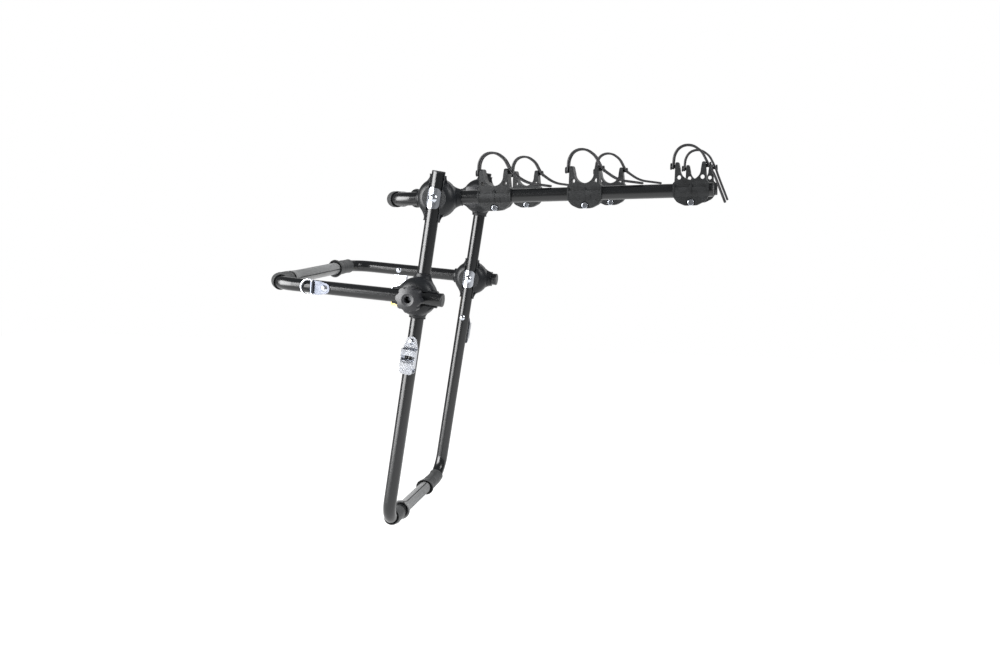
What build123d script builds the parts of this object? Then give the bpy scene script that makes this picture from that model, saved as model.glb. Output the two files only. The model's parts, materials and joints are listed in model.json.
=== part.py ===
from build123d import *
from math import cos, pi, radians, sin, sqrt
import os

# Strap-on rear cycle carrier for three bikes, in millimetres.
# X points away from the car, Y across it with -Y the near side in the photograph, Z up.
# The origin is the middle of the flat contact face of the lower pad.

# Driving dimensions of the three bent tube hoops
tube_od = 25.4
tube_wall = 1.6
bend_radius = 45.0
leg_lean = 9.3
arm_rise = 1.83
boot_rise = 4.6
leg_width = 370.0
leg_drop = 643.0
leg_top_gap = 4.5
hub_spacing = 185.0
tube_offset = 36.0
arm_length = 505.0
arm_tail = 103.0
boot_reach = 288.0
boot_stub_gap = 8.5

# Hubs: two toothed halves, each seated on its own tube
hub_radius = 37.0
hub_rim = 3.5
hub_height = 25.0
hub_crown_radius = 23.0
hub_bulge = 3.2
saddle_wall = 2.6
saddle_length = 87.0
saddle_lip = 4.0
mouth_rim = 0.8
fairing_root = 26.0
fairing_swell = 23.5
fairing_sag = 1.6
fairing_drop = 2.0
tooth_count = 24
tooth_depth = 1.2
tooth_inner = 27.0
tooth_width = 2.6

# Hub bolts, plates, washers and knobs
bolt_radius = 4.0
bolt_head_radius = 8.0
bolt_head_height = 4.2
plate_length = 38.5
plate_width = 25.0
plate_corner = 8.0
plate_thickness = 2.0
washer_radius = 12.5
washer_crown = 3.4
knob_radius = 21.0
knob_height = 31.0
knob_lobes = 8
knob_lobe_radius = 6.0
knob_lobe_place = 18.6
knob_neck_radius = 15.5
knob_neck_height = 7.0
knob_well_radius = 6.6
knob_well_depth = 20.0
knob_dish_radius = 15.5
knob_dish_depth = 2.5
bolt_end_gap = 17.0

# Pads and the rubber sleeves at the corners of the hoops; the tube is swaged thinner inside each pad
bar_radius = 9.6
bar_swage = 6.0
pad_radius = 12.8
pad_flat = 12.2
pad_rib_count = 22
pad_rib_height = 0.5
pad_neck_radius = 12.4
pad_neck_length = 6.0
pad_wide_bell = 20.4
pad_small_bell = 15.6
pad_bell_length = 30.0
pad_bell_depth = 10.0
pad_bell_wall = 1.6
pad_bell_sag = 0.26
pad_near_reach = 88.0
pad_far_reach = 116.0
sleeve_radius = 15.0
sleeve_gap = 16.0
sleeve_rim = 1.0
sleeve_cup_radius = 18.4
sleeve_cup_wall = 2.0
sleeve_cup_length = 24.0
sleeve_cup_depth = 7.0
sleeve_cup_gap = 2.4
sleeve_long_angle = 45.0
sleeve_leg_angle = 24.0
sleeve_short_angle = 10.0

# End caps
cap_flange = 2.6
cap_plug_length = 14.0

# Bike cradles, clamped round the arms
cradle_first_place = 108.0
cradle_near_tip = 37.0
cradle_far_tip = 33.0
cradle_near_shift = 11.0
cradle_far_shift = 2.0
cradle_length = 63.0
cradle_barrel_radius = 17.6
cradle_rim = 0.8
cradle_rim_width = 2.6
cradle_collar_height = 13.5
cradle_depth = 28.0
cradle_lug_depth = 27.0
cradle_bottom = 27.0
cradle_bottom_width = 22.0
cradle_cheek_half = 24.5
cradle_cheek_drop = 20.5
cradle_shoulder = 11.0
cradle_round = 14.0
cradle_ear_height = 50.5
cradle_ear_base = 28.5
cradle_ear_half = 26.5
cradle_ear_top = 6.0
cradle_ear_corner = 2.6
cradle_ear_round = 4.6
cradle_saddle_radius = 18.0
cradle_saddle_height = 37.0
cradle_hole_radius = 3.9
cradle_hole_height = 23.5
cradle_hole_spread = 20.6
cradle_slit = 3.0
cradle_screw_drop = 21.5
screw_radius = 2.5
screw_head_radius = 5.8
screw_head_height = 3.0
screw_socket_radius = 2.9
screw_socket_depth = 2.2
screw_recess_radius = 7.6
screw_recess_depth = 2.6
pocket_width = 25.0
pocket_height = 5.0
pocket_depth = 2.0
pocket_level = 8.5
pocket_place = 15.0
rib_width = 2.4
rib_top = 12.5
rib_bottom = -11.0
guide_rib_place = 10.5
guide_rib_width = 1.6
guide_rib_top = -3.5
guide_rib_bottom = -10.5
peg_radius = 3.2
peg_root_depth = 3.0
peg_length = 6.2
peg_head_radius = 6.0
peg_head_length = 3.2
peg_height = 43.0

# Ladder straps over the cradles
strap_thickness = 4.4
strap_width = 20.0
strap_rail = 4.6
strap_slot = 17.0
strap_rung = 6.0
strap_end = 9.0
strap_root_out = 1.5
strap_root_drop = 5.0
strap_rise_in = 1.0
strap_rise_height = 62.0
strap_back_reach = 20.0
strap_back_height = 79.5
strap_crown_reach = 3.0
strap_crown_height = 81.0
strap_fall_reach = 20.0
strap_fall_height = 68.0
strap_peg_out = 2.0
strap_tail_reach = 60.0
strap_tail_height = 22.6
strap_tail_end = 106.0
strap_hang_gap = 1.6
strap_hang_height = 27.0
strap_hang_end = 19.0
strap_hang_drop = 24.0
strap_loop_radii = (26.0, 22.0, 26.0, 30.0)
strap_tail_radii = (40.0, 60.0)
strap_hang_radii = (60.0, 90.0)

# Cam buckles and the strap ring
rivet_radius = 2.5
rivet_head_radius = 6.2
rivet_head_height = 3.0
rivet_skirt = 1.7
leg_rivet_drop = 88.0
boot_rivet_reach = 174.0
eyelet_radius = 10.4
buckle_length = 60.0
buckle_width = 28.5
buckle_neck = 12.0
buckle_corner = 3.0
buckle_edge = 1.4
buckle_plate = 1.8
buckle_wall = 1.6
buckle_height = 11.5
buckle_bridge_start = 14.0
buckle_bridge_end = 26.0
buckle_window_length = 9.0
buckle_window_width = 18.0
buckle_side_end = 50.0
cam_place = 41.0
cam_height = 6.6
cam_radius = 4.2
cam_pin_radius = 2.0
cam_teeth = 7
cam_tooth = 1.4
lever_plate = 1.8
lever_corner = 4.0
lever_mark_length = 6.0
lever_mark_width = 2.0
lever_mark_depth = 0.5
lever_mark_place = 12.0
lever_mark_side = 6.5
leg_lever_reach = 20.8
boot_lever_reach = 50.0
boot_buckle_tilt = 14.0
ring_plate_length = 24.0
ring_plate_width = 26.0
ring_plate_neck = 9.0
ring_wire_radius = 1.7
ring_width = 29.0
ring_depth = 22.0
ring_corner = 3.0
ring_bow = 14.4
ring_roll_width = 22.5

# Clearances
seat_gap = 0.1
running_gap = 0.06
moving_gap = 0.3
hole_gap = 0.5

# Values worked out from the dimensions above
tube_radius = tube_od / 2
tube_bore = tube_radius - tube_wall
leg_top = saddle_length / 2 + leg_top_gap
boot_stub = saddle_length / 2 + boot_stub_gap
arm_width = leg_width - 2 * tube_offset
boot_width = leg_width + 2 * tube_offset
half_offset = tube_offset / 2
seat_radius = tube_radius + seat_gap
bar_bore = bar_radius - tube_wall
bar_seat = bar_radius + seat_gap
bolt_hole = bolt_radius + hole_gap
bolt_fit = bolt_radius + running_gap
rivet_hole = rivet_radius + seat_gap
plate_face = seat_radius + plate_thickness
cradle_near_last = arm_length - cradle_near_tip
cradle_far_last = arm_length - cradle_far_tip
cradle_near_middle = (cradle_first_place + cradle_near_last) / 2 - cradle_near_shift
cradle_far_middle = (cradle_first_place + cradle_far_last) / 2 - cradle_far_shift
cradle_near_places = (cradle_first_place, cradle_near_middle, cradle_near_last)
cradle_far_places = (cradle_first_place, cradle_far_middle, cradle_far_last)
sleeve_angles = {"near": sleeve_long_angle, "far": sleeve_short_angle}
washer_face = tube_offset + tube_radius + washer_crown
knob_base = washer_face + moving_gap
knob_face = knob_base + knob_height
foot = Vector(cos(radians(leg_lean)), 0, -sin(radians(leg_lean))) * pad_flat
leg_up = Vector(sin(radians(leg_lean)), 0, cos(radians(leg_lean)))
upper_axis = foot + leg_up * leg_drop
lower_axis = foot + leg_up * (leg_drop - hub_spacing)


# Frames: x runs towards the open end of the hoop, y across the car, the origin is on the hinge axis
def hoop_frame(origin, angle):
    along = Vector(cos(radians(angle)), 0, sin(radians(angle)))
    return Plane(origin=origin, x_dir=along, z_dir=along.cross(Vector(0, 1, 0)))


leg_frame = hoop_frame(upper_axis, 90 - leg_lean)
arm_frame = hoop_frame(upper_axis, arm_rise)
boot_frame = hoop_frame(lower_axis, -boot_rise)


# Plane whose z points across the hoop at a point of one of its sides
def side_plane(along, across, side):
    return Plane(origin=(along, across, 0), x_dir=(1, 0, 0), z_dir=(0, side, 0))


# Round rod or hole along z of a plane, from one height to another
def rod(plane, radius, low, high):
    return plane * Pos(0, 0, (low + high) / 2) * Cylinder(radius, high - low)


# Round rod or hole along x of the current frame
def rod_along_x(radius, length, height=0.0):
    return Pos(0, 0, height) * Rot(0, 90, 0) * Cylinder(radius, length)


# Hoops
def hoop_path(closed_reach, open_reach, width):
    half = width / 2
    corners = [(open_reach, -half), (-closed_reach, -half), (-closed_reach, half), (open_reach, half)]
    return FilletPolyline(*corners, radius=bend_radius)


def pipe_along(path, radius):
    section = Plane(origin=path @ 0, z_dir=path % 0) * Circle(radius)
    return sweep(section, path=path)


def hoop_tube(closed_reach, open_reach, width, bolt_places, rivet_places):
    path = hoop_path(closed_reach, open_reach, width)
    tube = pipe_along(path, tube_radius) - pipe_along(path, tube_bore)
    tube = swaged(tube, closed_reach, width)
    reach = width / 2 + tube_od
    for along in bolt_places:
        tube -= rod(side_plane(along, 0, 1), bolt_hole, -reach, reach)
    for along in rivet_places:
        tube -= rod(side_plane(along, 0, 1), rivet_hole, -reach, reach)
    return tube


# Tube of a hoop with the straight under its pad drawn down to the bar's radius
def swaged(tube, closed_reach, width):
    low = -width / 2 + pad_near_reach + pad_bell_depth
    high = width / 2 - pad_far_reach + sleeve_cup_depth + bar_swage
    middle = (low + high) / 2
    tube -= Pos(-closed_reach, middle, 0) * Box(2 * tube_od, high - low, 2 * tube_od)
    outside = swage_solid(tube_radius, bar_radius, high - low)
    inside = swage_solid(tube_bore, bar_bore, high - low)
    across = Plane(origin=(-closed_reach, low, 0), x_dir=(1, 0, 0), z_dir=(0, 1, 0))
    return tube + across * (outside - inside)


# Round bar along z from 0 to the length given, thick at both ends and thin between the two swages
def swage_solid(thick, thin, length):
    points = [(0, 0), (thick, 0), (thin, bar_swage), (thin, length - bar_swage), (thick, length), (0, length)]
    return revolve(Plane.XZ * make_face(Polyline(*points, close=True)), Axis.Z)


def end_plug(open_reach, across):
    face = Pos(open_reach, across, 0)
    flange = face * Pos(cap_flange / 2, 0, 0) * rod_along_x(tube_radius, cap_flange)
    flange = chamfer(flange.edges().filter_by(GeomType.CIRCLE).sort_by(Axis.X)[-1], cap_flange / 3)
    plug = face * Pos(-cap_plug_length / 2, 0, 0) * rod_along_x(tube_bore - seat_gap, cap_plug_length)
    hollow = Pos(-cap_plug_length / 2 - cap_flange, 0, 0) * rod_along_x(tube_bore / 2, cap_plug_length)
    return flange + plug - face * hollow


# Pads: a ribbed round back and a plain front with a flat contact face towards +z
def pad_profile():
    step = pi / pad_rib_count
    points = []
    for i in range(pad_rib_count * 2 + 1):
        angle = pi + i * step / 2
        radius = pad_radius + (pad_rib_height if i % 2 else 0)
        points.append((radius * cos(angle), radius * sin(angle)))
    back = make_face(Polyline(*points, close=True))
    front = Pos(0, pad_flat / 2) * Rectangle(2 * pad_radius, pad_flat)
    return back + (front & Circle(pad_radius))


def pad(closed_reach, width, turn, bell_radius):
    far_end = width / 2 - pad_far_reach
    length = far_end + width / 2 - pad_near_reach
    across = Plane(origin=(-closed_reach, far_end, 0), x_dir=(1, 0, 0), z_dir=(0, -1, 0))
    body = across * Pos(0, 0, hole_gap) * Rot(0, 0, turn) * extrude(pad_profile(), length - hole_gap)
    body += rod(across, pad_neck_radius, -pad_neck_length, hole_gap)
    body += across * Pos(0, 0, length) * flare(pad_radius, bell_radius, pad_bell_length)
    inside = flare(seat_radius, bell_radius - pad_bell_wall, pad_bell_depth)
    body -= across * Pos(0, 0, length) * inside
    body -= across * Pos(0, 0, length - pad_bell_depth) * Rot(180, 0, 0) * swage_hollow()
    return body - rod(across, bar_seat, -pad_neck_length, length)


# Room in the pad's bell for the near swage, along z from 0
def swage_hollow():
    points = [(0, 0), (seat_radius, 0), (bar_seat, bar_swage), (0, bar_swage)]
    return revolve(Plane.XZ * make_face(Polyline(*points, close=True)), Axis.Z)


# Trumpet round z that widens from one radius to another as it comes up to z = 0
def flare(small, large, length):
    sag = (large - small) * pad_bell_sag
    middle = ((small + large) / 2 - sag, -length / 2)
    curve = ThreePointArc((small, -length), middle, (large, 0))
    sides = Polyline((large, 0), (0, 0), (0, -length), (small, -length))
    return revolve(Plane.XZ * make_face(curve + sides), Axis.Z)


# Corner sleeves: from part of the way round the bend to the pad; the far one ends in a cup round the
# pad's neck
def sleeve_path(closed_reach, width, side, reach, mouth_angle):
    half = width / 2 * side
    middle = half - bend_radius * side
    centre = Vector(-closed_reach + bend_radius, middle, 0)
    turned = radians(mouth_angle)
    mouth = centre + Vector(-cos(turned), sin(turned) * side, 0) * bend_radius
    half_turned = turned / 2
    between = centre + Vector(-cos(half_turned), sin(half_turned) * side, 0) * bend_radius
    corner = Vector(-closed_reach, middle, 0)
    end = Vector(-closed_reach, half - reach * side, 0)
    return ThreePointArc(mouth, between, corner) + Line(corner, end)


def corner_sleeve(closed_reach, width, side, mouth_angle):
    cupped = side > 0
    reach = pad_far_reach if cupped else pad_near_reach - sleeve_gap
    path = sleeve_path(closed_reach, width, side, reach, mouth_angle)
    body = pipe_along(path, sleeve_radius)
    mouth = Plane(origin=path @ 0, z_dir=-(path % 0))
    body += mouth * Torus(sleeve_radius - sleeve_rim / 4, sleeve_rim)
    if cupped:
        end = Plane(origin=path @ 1, z_dir=path % 1)
        cup = Cone(sleeve_radius - sleeve_cup_wall / 4, sleeve_cup_radius, sleeve_cup_length)
        body += end * Pos(0, 0, -sleeve_cup_length / 2) * cup
        body -= rod(end, pad_neck_radius + sleeve_cup_gap, -sleeve_cup_depth, sleeve_cup_depth)
    return body - pipe_along(path, seat_radius)


# Hub half in its own frame: mating face at z = 0, its tube along x at half_offset
def hub_half():
    middle_radius = (hub_radius + hub_crown_radius) / 2 + hub_bulge
    middle_height = (hub_rim + hub_height) / 2 + hub_bulge
    face = moving_gap / 2
    outline = Polyline((0, hub_height), (0, face), (hub_radius, face), (hub_radius, hub_rim))
    crown = ThreePointArc(
        (hub_radius, hub_rim), (middle_radius, middle_height), (hub_crown_radius, hub_height)
    )
    closing = Line((hub_crown_radius, hub_height), (0, hub_height))
    dome = revolve(Plane.XZ * make_face(outline + crown + closing), Axis.Z)
    sleeve = rod_along_x(seat_radius + saddle_wall, saddle_length, half_offset)
    top = half_offset + saddle_lip
    for side in (-1, 1):
        end = side * (saddle_length / 2 - mouth_rim)
        rim = Rot(0, 90, 0) * Torus(seat_radius + saddle_wall, mouth_rim)
        sleeve += Pos(end, 0, half_offset) * rim
    sleeve &= Pos(0, 0, top / 2) * Box(saddle_length, hub_radius * 2, top)
    body = dome + sleeve + hub_fairing()
    groove_height = hub_height * 2
    body -= rod_along_x(seat_radius, saddle_length * 2, half_offset)
    groove = Box(saddle_length * 2, 2 * seat_radius, groove_height)
    body -= Pos(0, 0, half_offset + groove_height / 2) * groove
    body -= Cylinder(bolt_fit, hub_height * 2)
    return body - hub_tooth_gaps()


# Spindle round the hub half's tube that fairs its dome into the two mouths
def hub_fairing():
    half = saddle_length / 2
    mouth = seat_radius + saddle_wall
    waist = ((half + fairing_root) / 2, (mouth + fairing_swell) / 2 - fairing_sag)
    right = ThreePointArc((half, mouth), waist, (fairing_root, fairing_swell))
    top = Line((fairing_root, fairing_swell), (-fairing_root, fairing_swell))
    left = ThreePointArc((-fairing_root, fairing_swell), (-waist[0], waist[1]), (-half, mouth))
    axis = Polyline((-half, mouth), (-half, 0), (half, 0), (half, mouth))
    spindle = Pos(0, 0, half_offset) * revolve(make_face(right + top + left + axis), Axis.X)
    low = moving_gap / 2
    high = half_offset - fairing_drop
    return spindle & Pos(0, 0, (low + high) / 2) * Box(saddle_length, hub_radius * 2, high - low)


def hub_tooth_gaps():
    length = hub_radius - tooth_inner + tooth_width
    wedge_side = tooth_width * cos(pi / 4)
    wedge = Rot(45, 0, 0) * Box(length, wedge_side, wedge_side)
    place = Pos(tooth_inner + length / 2, 0, tooth_depth - tooth_width / 2 + moving_gap / 2)
    return [Rot(0, 0, 360 * i / tooth_count) * place * wedge for i in range(tooth_count)]


def placed_hub_half(mating_across, side):
    return side_plane(0, mating_across, side) * hub_half()


# Saddle plate on the free side of a leg, wrapped round the tube
def saddle_plate(across, side, along):
    shell = rod_along_x(plate_face, plate_length) - rod_along_x(seat_radius, plate_length * 2)
    outline = extrude(RectangleRounded(plate_length, plate_width, plate_corner), plate_face)
    plate = shell & outline
    plate -= Cylinder(bolt_fit, plate_face * 3)
    return side_plane(along, across, side) * plate


# Domed head that stands on z = 0
def dome_head(radius, height):
    ball_radius = (radius**2 + height**2) / (2 * height)
    ball = Pos(0, 0, height - ball_radius) * Sphere(ball_radius)
    return ball & Pos(0, 0, height / 2) * Cylinder(radius, height)


# Carriage bolt: dome head on the plate, shank along z through both tubes into the knob
def hub_bolt(across, side, along):
    plane = side_plane(along, across, side)
    shank = rod(plane, bolt_radius, -plate_face - bolt_head_height / 2, knob_face - bolt_end_gap)
    head = Pos(0, 0, -plate_face) * Rot(180, 0, 0) * dome_head(bolt_head_radius, bolt_head_height)
    return shank + plane * head


# Washer with one face curved to its tube, under the knob
def saddle_washer(across, side):
    plane = side_plane(0, across, side)
    washer = rod(plane, washer_radius, tube_radius / 2, tube_radius + washer_crown)
    washer -= Pos(0, across, 0) * rod_along_x(seat_radius, washer_radius * 3)
    return washer - rod(plane, bolt_fit, 0, tube_od + washer_crown)


# Lobed knob: neck against the washer, dished face with a well round the end of the bolt
def knob(across, side, along):
    grip_height = knob_height - knob_neck_height
    grip = Pos(0, 0, knob_neck_height + grip_height / 2) * Cylinder(knob_radius, grip_height)
    for i in range(knob_lobes):
        lobe = Cylinder(knob_lobe_radius, grip_height)
        middle = Pos(knob_lobe_place, 0, knob_neck_height + grip_height / 2)
        grip += Rot(0, 0, 360 * i / knob_lobes) * middle * lobe
    limit = knob_lobe_place + knob_lobe_radius
    dome_radius = (limit**2 + (knob_dish_depth * 2) ** 2) / (4 * knob_dish_depth)
    grip &= Pos(0, 0, knob_height - dome_radius) * Sphere(dome_radius)
    neck = Pos(0, 0, knob_neck_height / 2) * Cylinder(knob_neck_radius, knob_neck_height)
    body = grip + neck
    ball_radius = (knob_dish_radius**2 + knob_dish_depth**2) / (2 * knob_dish_depth)
    body -= Pos(0, 0, knob_height - knob_dish_depth + ball_radius) * Sphere(ball_radius)
    body -= Pos(0, 0, knob_height - knob_well_depth / 2) * Cylinder(knob_well_radius, knob_well_depth)
    body -= Cylinder(bolt_fit, knob_height * 3)
    return side_plane(along, across, side) * Pos(0, 0, knob_base) * body


# Cradle in its own frame: the arm along x through the origin, ears up
def cradle_front():
    half = cradle_length / 2
    top = cradle_ear_height
    points = [(cradle_bottom_width / 2, -cradle_bottom), (cradle_cheek_half, -cradle_cheek_drop)]
    points += [(half, -cradle_shoulder), (half, cradle_collar_height)]
    points += [(cradle_ear_base, ear_root_height()), (cradle_ear_half, top)]
    points += [(-x, z) for x, z in reversed(points)]
    outline = make_face(Polyline(*points, close=True))
    lower = outline.vertices().sort_by(Axis.Y)[:6]
    outline = fillet(lower, cradle_round)
    scoop = Pos(0, cradle_saddle_height) * Circle(cradle_saddle_radius)
    mouth_half = cradle_ear_half - cradle_ear_top
    wall = cradle_saddle_radius
    mouth = Polyline(
        (-wall, cradle_saddle_height), (wall, cradle_saddle_height), (mouth_half, top), (-mouth_half, top),
        close=True,
    )
    outline -= scoop
    outline -= make_face(mouth)
    ear_corners = outline.vertices().group_by(Axis.Y)[-1]
    outline = fillet(ear_corners, cradle_ear_corner)
    for side in (-1, 1):
        outline -= Pos(side * cradle_hole_spread, cradle_hole_height) * Circle(cradle_hole_radius)
    return outline


def cradle_end():
    lug = Pos(0, -cradle_bottom / 2) * Rectangle(cradle_lug_depth, cradle_bottom)
    ears = Pos(0, cradle_ear_height / 2) * Rectangle(cradle_depth, cradle_ear_height)
    ears = fillet(ears.vertices().sort_by(Axis.Y)[-2:], cradle_ear_round)
    return Circle(cradle_barrel_radius) + lug + ears


# Ring round the barrel, cut to the heights given
def barrel_ring(along, width, low, high):
    ring = Pos(along, 0, 0) * rod_along_x(cradle_barrel_radius + cradle_rim, width)
    return ring & Pos(along, 0, (low + high) / 2) * Box(width, cradle_barrel_radius * 4, high - low)


def cradle_body():
    deep = cradle_barrel_radius * 4
    front = Plane.XZ.offset(-deep / 2) * extrude(cradle_front(), deep)
    end = Plane.YZ.offset(-cradle_length / 2) * extrude(cradle_end(), cradle_length)
    body = front & end
    body += barrel_ring(0, rib_width, rib_bottom, rib_top)
    for side in (-1, 1):
        rim_place = side * (cradle_length - cradle_rim_width) / 2
        body += barrel_ring(rim_place, cradle_rim_width, -cradle_shoulder, cradle_collar_height)
        body += barrel_ring(side * guide_rib_place, guide_rib_width, guide_rib_bottom, guide_rib_top)
    body -= cradle_pockets()
    body -= rod_along_x(seat_radius, cradle_length * 2)
    body -= Pos(0, 0, -cradle_bottom) * Box(cradle_length * 2, cradle_slit, cradle_bottom * 2 - tube_radius)
    across = Plane(origin=(0, 0, -cradle_screw_drop), x_dir=(1, 0, 0), z_dir=(0, -1, 0))
    body -= rod(across, screw_radius + seat_gap, -cradle_depth, cradle_depth)
    lug_half = cradle_lug_depth / 2
    for side in (-1, 1):
        low, high = sorted((side * (lug_half - screw_recess_depth), side * cradle_depth))
        body -= rod(across, screw_recess_radius, low, high)
    for side in (-1, 1):
        body += cradle_peg(side)
    return body


# Shallow pockets in both faces of the barrel, one on each side of the middle rib
def cradle_pockets():
    surface = sqrt(cradle_barrel_radius**2 - pocket_level**2)
    floor = surface - pocket_depth
    pockets = []
    for along in (-pocket_place, pocket_place):
        for side in (-1, 1):
            middle = side * (floor + cradle_barrel_radius / 2)
            block = Box(pocket_width, cradle_barrel_radius, pocket_height)
            pockets.append(Pos(along, middle, pocket_level) * block)
    return pockets


# Peg that holds the strap, standing out of the slanted outer face of an ear
def ear_root_height():
    return cradle_collar_height + cradle_length / 2 - cradle_ear_base


def ear_lean():
    return (cradle_ear_base - cradle_ear_half) / (cradle_ear_height - ear_root_height())


def peg_root():
    return cradle_ear_half + (cradle_ear_height - peg_height) * ear_lean()


def peg_plane(side):
    outward = Vector(side, 0, ear_lean())
    return Plane(origin=(side * peg_root(), 0, peg_height), x_dir=(0, 1, 0), z_dir=outward)


def cradle_peg(side):
    plane = peg_plane(side)
    stem = rod(plane, peg_radius, -peg_root_depth, peg_length)
    head = rod(plane, peg_head_radius, peg_length, peg_length + peg_head_length)
    rim = head.edges().filter_by(GeomType.CIRCLE)
    return stem + fillet(rim, peg_head_length / 3)


def clamp_screw():
    lug_half = cradle_lug_depth / 2 - screw_recess_depth
    across = Plane(origin=(0, 0, -cradle_screw_drop), x_dir=(1, 0, 0), z_dir=(0, -1, 0))
    shank = rod(across, screw_radius, -lug_half - screw_head_height, lug_half)
    head = rod(across, screw_head_radius, lug_half, lug_half + screw_head_height)
    head = fillet(head.faces().sort_by(Axis.Y)[0].edges(), screw_head_height / 3)
    socket = across * Pos(0, 0, lug_half + screw_head_height) * extrude(
        RegularPolygon(screw_socket_radius, 6), -screw_socket_depth
    )
    nut = across * Pos(0, 0, -lug_half - screw_head_height) * extrude(
        RegularPolygon(screw_head_radius, 6), screw_head_height
    )
    return shank + head + nut - socket


# Strap centre line in the cradle's x, z plane: over the loop and past the right peg; the tail lies along
# the arm, or hangs over its tip where the distance to the tip is given
def strap_route(tip):
    out = peg_root() + peg_length / 2
    loop = [(-out - strap_root_out, peg_height - strap_root_drop)]
    loop += [(-out + strap_rise_in, strap_rise_height), (-strap_back_reach, strap_back_height)]
    loop += [(strap_crown_reach, strap_crown_height), (strap_fall_reach, strap_fall_height)]
    loop += [(out + strap_peg_out, peg_height)]
    if tip is None:
        lying = tube_radius + moving_gap + strap_thickness / 2
        tail = [(strap_tail_reach, strap_tail_height), (strap_tail_end, lying)]
        return loop + tail, strap_loop_radii + strap_tail_radii
    drop = tip + cap_flange + strap_hang_gap
    tail = [(drop, strap_hang_height), (drop + strap_hang_end, -strap_hang_drop)]
    return loop + tail, strap_loop_radii + strap_hang_radii


# Parallel offset of an open polyline, with the fillet radii that keep the arcs concentric
def offset_route(points, radii, shift):
    directions = []
    for (x0, z0), (x1, z1) in zip(points, points[1:]):
        length = sqrt((x1 - x0) ** 2 + (z1 - z0) ** 2)
        directions.append(((x1 - x0) / length, (z1 - z0) / length))
    moved = [(points[0][0] - directions[0][1] * shift, points[0][1] + directions[0][0] * shift)]
    new_radii = []
    for i, radius in enumerate(radii):
        (ax, az), (bx, bz) = directions[i], directions[i + 1]
        turn = ax * bz - az * bx
        mitre = shift / (1 + ax * bx + az * bz)
        x, z = points[i + 1]
        moved.append((x - (az + bz) * mitre, z + (ax + bx) * mitre))
        new_radii.append(radius - shift if turn > 0 else radius + shift)
    moved.append((points[-1][0] - directions[-1][1] * shift, points[-1][1] + directions[-1][0] * shift))
    return moved, new_radii


def ladder_strap(tip):
    points, radii = strap_route(tip)
    half = strap_thickness / 2
    left, left_radii = offset_route(points, radii, half)
    right, right_radii = offset_route(points, radii, -half)
    one_side = FilletPolyline(*left, radius=left_radii)
    other_side = FilletPolyline(*right, radius=right_radii)
    ends = Line(left[0], right[0]) + Line(left[-1], right[-1])
    band_face = make_face(one_side + other_side + ends)
    body = Plane.XZ.offset(-strap_width / 2) * extrude(band_face, strap_width)
    middle = FilletPolyline(*points, radius=radii)
    step = strap_slot + strap_rung
    count = int((middle.length - 2 * strap_end + strap_rung) / step)
    first = (middle.length - count * step + strap_rung) / 2
    slots = []
    for i in range(count):
        low = (first + i * step) / middle.length
        high = (first + i * step + strap_slot) / middle.length
        slots.append(strap_slot_cutter(middle, low, high))
    body -= slots
    return body - strap_peg_holes()


# Slot through the strap between two places on its centre line
def strap_slot_cutter(middle, low, high):
    start, end = middle @ low, middle @ high
    along = (end - start).normalized()
    up = Vector(-along.Y, along.X, 0)
    centre = (start + end) / 2
    bow = ((middle @ ((low + high) / 2)) - centre).dot(up)
    centre += up * (bow / 2)
    plane = Plane(origin=(centre.X, 0, centre.Y), x_dir=(along.X, 0, along.Y), z_dir=(up.X, 0, up.Y))
    opening = RectangleRounded((end - start).length, strap_width - 2 * strap_rail, strap_rail / 2)
    return plane * Pos(0, 0, -strap_thickness * 2) * extrude(opening, strap_thickness * 4)


def strap_peg_holes():
    holes = []
    for side in (-1, 1):
        holes.append(rod(peg_plane(side), peg_radius + seat_gap, -peg_length, peg_length * 2))
        clear = rod(peg_plane(side), peg_head_radius + seat_gap, peg_length - seat_gap, peg_length * 4)
        holes.append(clear)
    return holes


# Rivet across a tube: z is out of the tube on the buckle's side, the far head is curved to the tube
def rivet(along, across, side, lift):
    plane = side_plane(along, across, side)
    outer = tube_radius + lift
    shank = rod(plane, rivet_radius, -tube_radius - rivet_head_height / 2, outer + rivet_head_height / 2)
    front = plane * Pos(0, 0, outer) * dome_head(rivet_head_radius, rivet_head_height)
    back = plane * Pos(0, 0, -tube_radius) * Rot(180, 0, 0) * dome_head(rivet_head_radius, rivet_head_height)
    skirt = rod(plane, rivet_head_radius, -tube_radius, -tube_radius + rivet_skirt)
    skirt -= Pos(along, across, 0) * rod_along_x(tube_radius, rivet_head_radius * 3)
    return shank + front + back + skirt


# Cam buckle in its own frame: rivet hole at the origin, strap direction +x, tube surface at z = 0
def buckle_blank(length, width, neck):
    half = width / 2
    points = [(0, -eyelet_radius), (neck, -half), (length, -half)]
    points += [(x, -y) for x, y in reversed(points)]
    body = make_face(Polyline(*points, close=True))
    body = fillet(body.vertices().group_by(Axis.X)[-1], buckle_corner)
    return Circle(eyelet_radius) + body


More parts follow.
